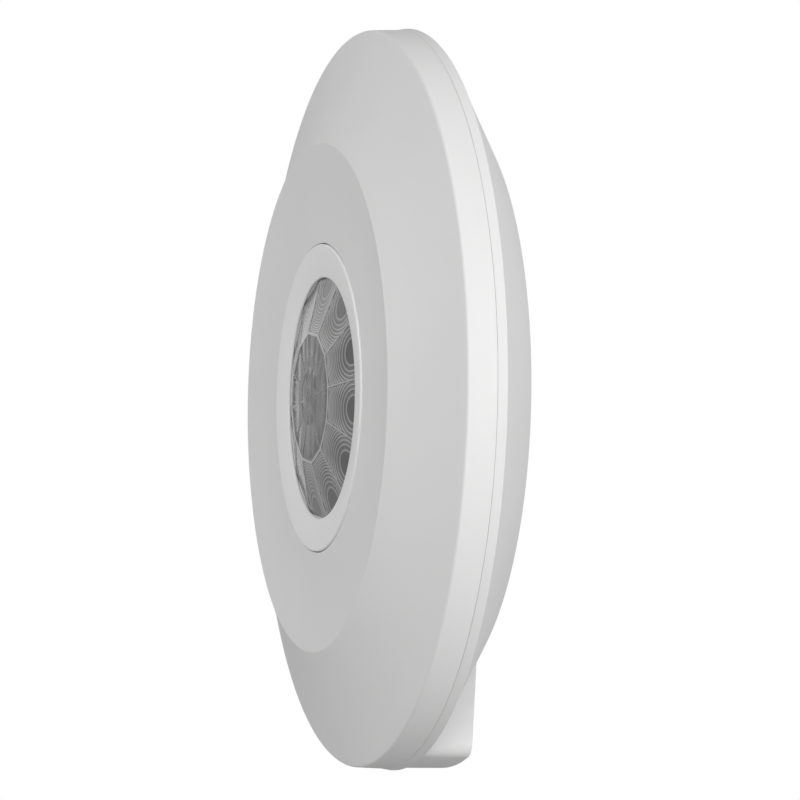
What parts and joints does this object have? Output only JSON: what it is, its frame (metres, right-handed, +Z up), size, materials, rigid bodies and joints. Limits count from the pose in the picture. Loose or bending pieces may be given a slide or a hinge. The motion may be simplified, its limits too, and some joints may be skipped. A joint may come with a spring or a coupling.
{
  "type": "motion sensor",
  "caption": "Slim round motion sensor with a stepped conical cover, faceted centre lens, setting knobs, plug-in head and wall base with a cable spout.",
  "frame": {"origin": "centre of the base on the mounting plane", "axes": "-Y out of the mounting plane along the lens's axis, +Z up, with the cable spout pointing down"},
  "size_m": [0.116, 0.022, 0.116],
  "materials": {
    "white_shell": "fine satin texture",
    "white_ring": "smooth satin",
    "white_back": "fine satin texture",
    "white_base": "fine satin texture",
    "lens_plastic": "translucent, moulded grooves",
    "inner_plastic": "natural moulded",
    "screw_steel": "zinc plated",
    "terminal_steel": "zinc plated",
    "circuit_board": "solder mask",
    "sensor_metal": "plated can",
    "sensor_window": "dark infrared filter",
    "clear_plastic": "clear epoxy",
    "led_plastic": "diffused red epoxy",
    "chip_black": "moulded epoxy",
    "chip_ceramic": "fired",
    "relay_black": "moulded",
    "relay_blue": "moulded",
    "coil_copper": "enamelled winding",
    "relay_iron": "nickel plated",
    "contact_brass": "stamped",
    "capacitor_yellow": "moulded box",
    "capacitor_sleeve": "shrink sleeve",
    "varistor_blue": "dipped epoxy",
    "resistor_grey": "flameproof coating",
    "choke_ferrite": "ferrite",
    "trimmer_body": "moulded",
    "knob_plastic": "moulded",
    "terminal_plastic": "glass-filled",
    "grommet_rubber": "moulded"
  },
  "bodies": {
    "base": {"base": "white_base", "terminal_block": "terminal_plastic", "terminal_cages": "terminal_steel", "terminal_screws": "terminal_steel", "socket_contacts": "contact_brass", "cable_clamp": "inner_plastic", "clamp_screws": "screw_steel", "cable_grommet": "grommet_rubber"},
    "head": {"front_cover": "white_shell", "lens_ring": "white_ring", "fresnel_lens": "lens_plastic", "lens_retainer": "inner_plastic", "rear_cover": "white_back", "cover_screws": "screw_steel", "main_board": "circuit_board", "board_screws": "screw_steel", "pyro_can": "sensor_metal", "pyro_window": "sensor_window", "pyro_header": "sensor_metal", "light_sensor": "clear_plastic", "status_led": "led_plastic", "control_ic": "chip_black", "chip_parts": "chip_ceramic", "relay_base": "relay_black", "relay_case": "relay_blue", "relay_coil": "coil_copper", "relay_yoke": "relay_iron", "relay_contact": "contact_brass", "film_capacitor": "capacitor_yellow", "smoothing_capacitor": "capacitor_sleeve", "varistor": "varistor_blue", "fuse_resistor": "resistor_grey", "bridge_rectifier": "chip_black", "choke": "choke_ferrite", "trimmers": "trimmer_body", "contact_blades": "contact_brass"},
    "time_dial": {"time_knob": "knob_plastic"},
    "lux_dial": {"lux_knob": "knob_plastic"},
    "range_dial": {"range_knob": "knob_plastic"},
    "armature": {"relay_armature": "relay_iron"}
  },
  "joints": [
    {"name": "head_release", "type": "slide", "parent": "base", "child": "head", "axis": [0, -1, 0], "range_m": [0, 0.025]},
    {"name": "time_setting", "type": "hinge", "parent": "head", "child": "time_dial", "pos_m": [-0.01854, -0.0088, 0.0459], "axis": [0, 1, 0], "range_deg": [-135, 135]},
    {"name": "lux_setting", "type": "hinge", "parent": "head", "child": "lux_dial", "pos_m": [0, -0.0088, 0.0495], "axis": [0, 1, 0], "range_deg": [-135, 135]},
    {"name": "range_setting", "type": "hinge", "parent": "head", "child": "range_dial", "pos_m": [0.01854, -0.0088, 0.0459], "axis": [0, 1, 0], "range_deg": [-135, 135]},
    {"name": "relay_pull_in", "type": "hinge", "parent": "head", "child": "armature", "pos_m": [-0.01555, -0.0087, 0.0148], "axis": [0, 1, 0], "range_deg": [0, 5]}
  ]
}
